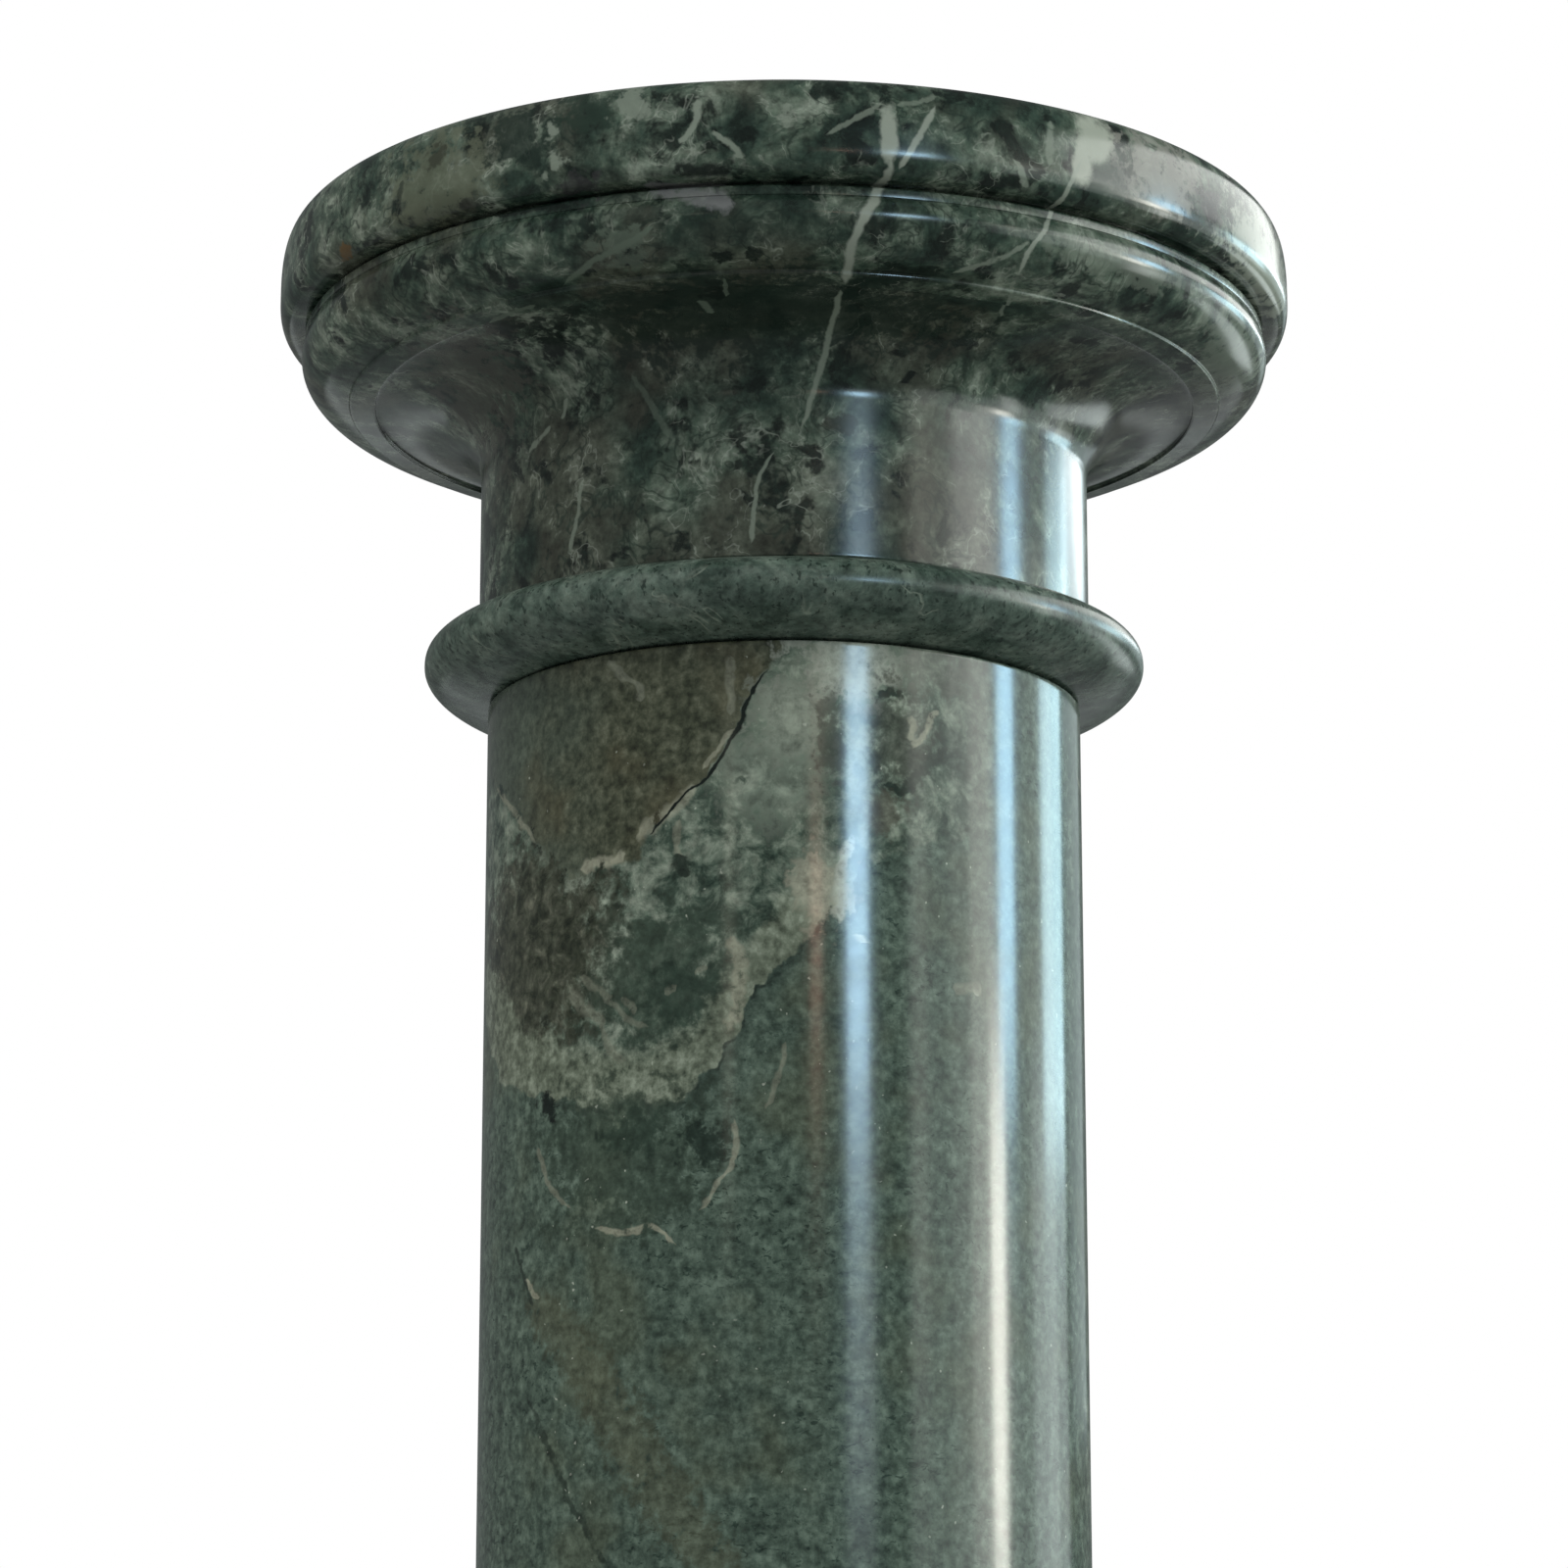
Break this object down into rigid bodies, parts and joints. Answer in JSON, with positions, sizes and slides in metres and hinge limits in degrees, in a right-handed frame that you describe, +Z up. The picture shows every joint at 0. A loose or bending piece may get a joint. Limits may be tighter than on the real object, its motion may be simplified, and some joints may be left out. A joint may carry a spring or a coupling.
{
  "type": "marble pedestal column",
  "caption": "Turned green marble pedestal column with a moulded round top plate, a plain shaft between two rounded rings, a moulded base and a square plinth.",
  "frame": {"origin": "centre of the plinth's underside, on the floor", "axes": "+Z up along the column's axis, X and Y square to the plinth's sides"},
  "size_m": [0.29, 0.29, 1.0506],
  "materials": {
    "capital_marble": "polished",
    "ring_marble": "polished",
    "shaft_marble": "polished",
    "base_marble": "polished"
  },
  "bodies": {
    "root": {"capital": "capital_marble", "upper_ring": "ring_marble", "shaft": "shaft_marble", "lower_ring": "ring_marble", "base": "base_marble", "plinth": "base_marble"}
  },
  "joints": []
}
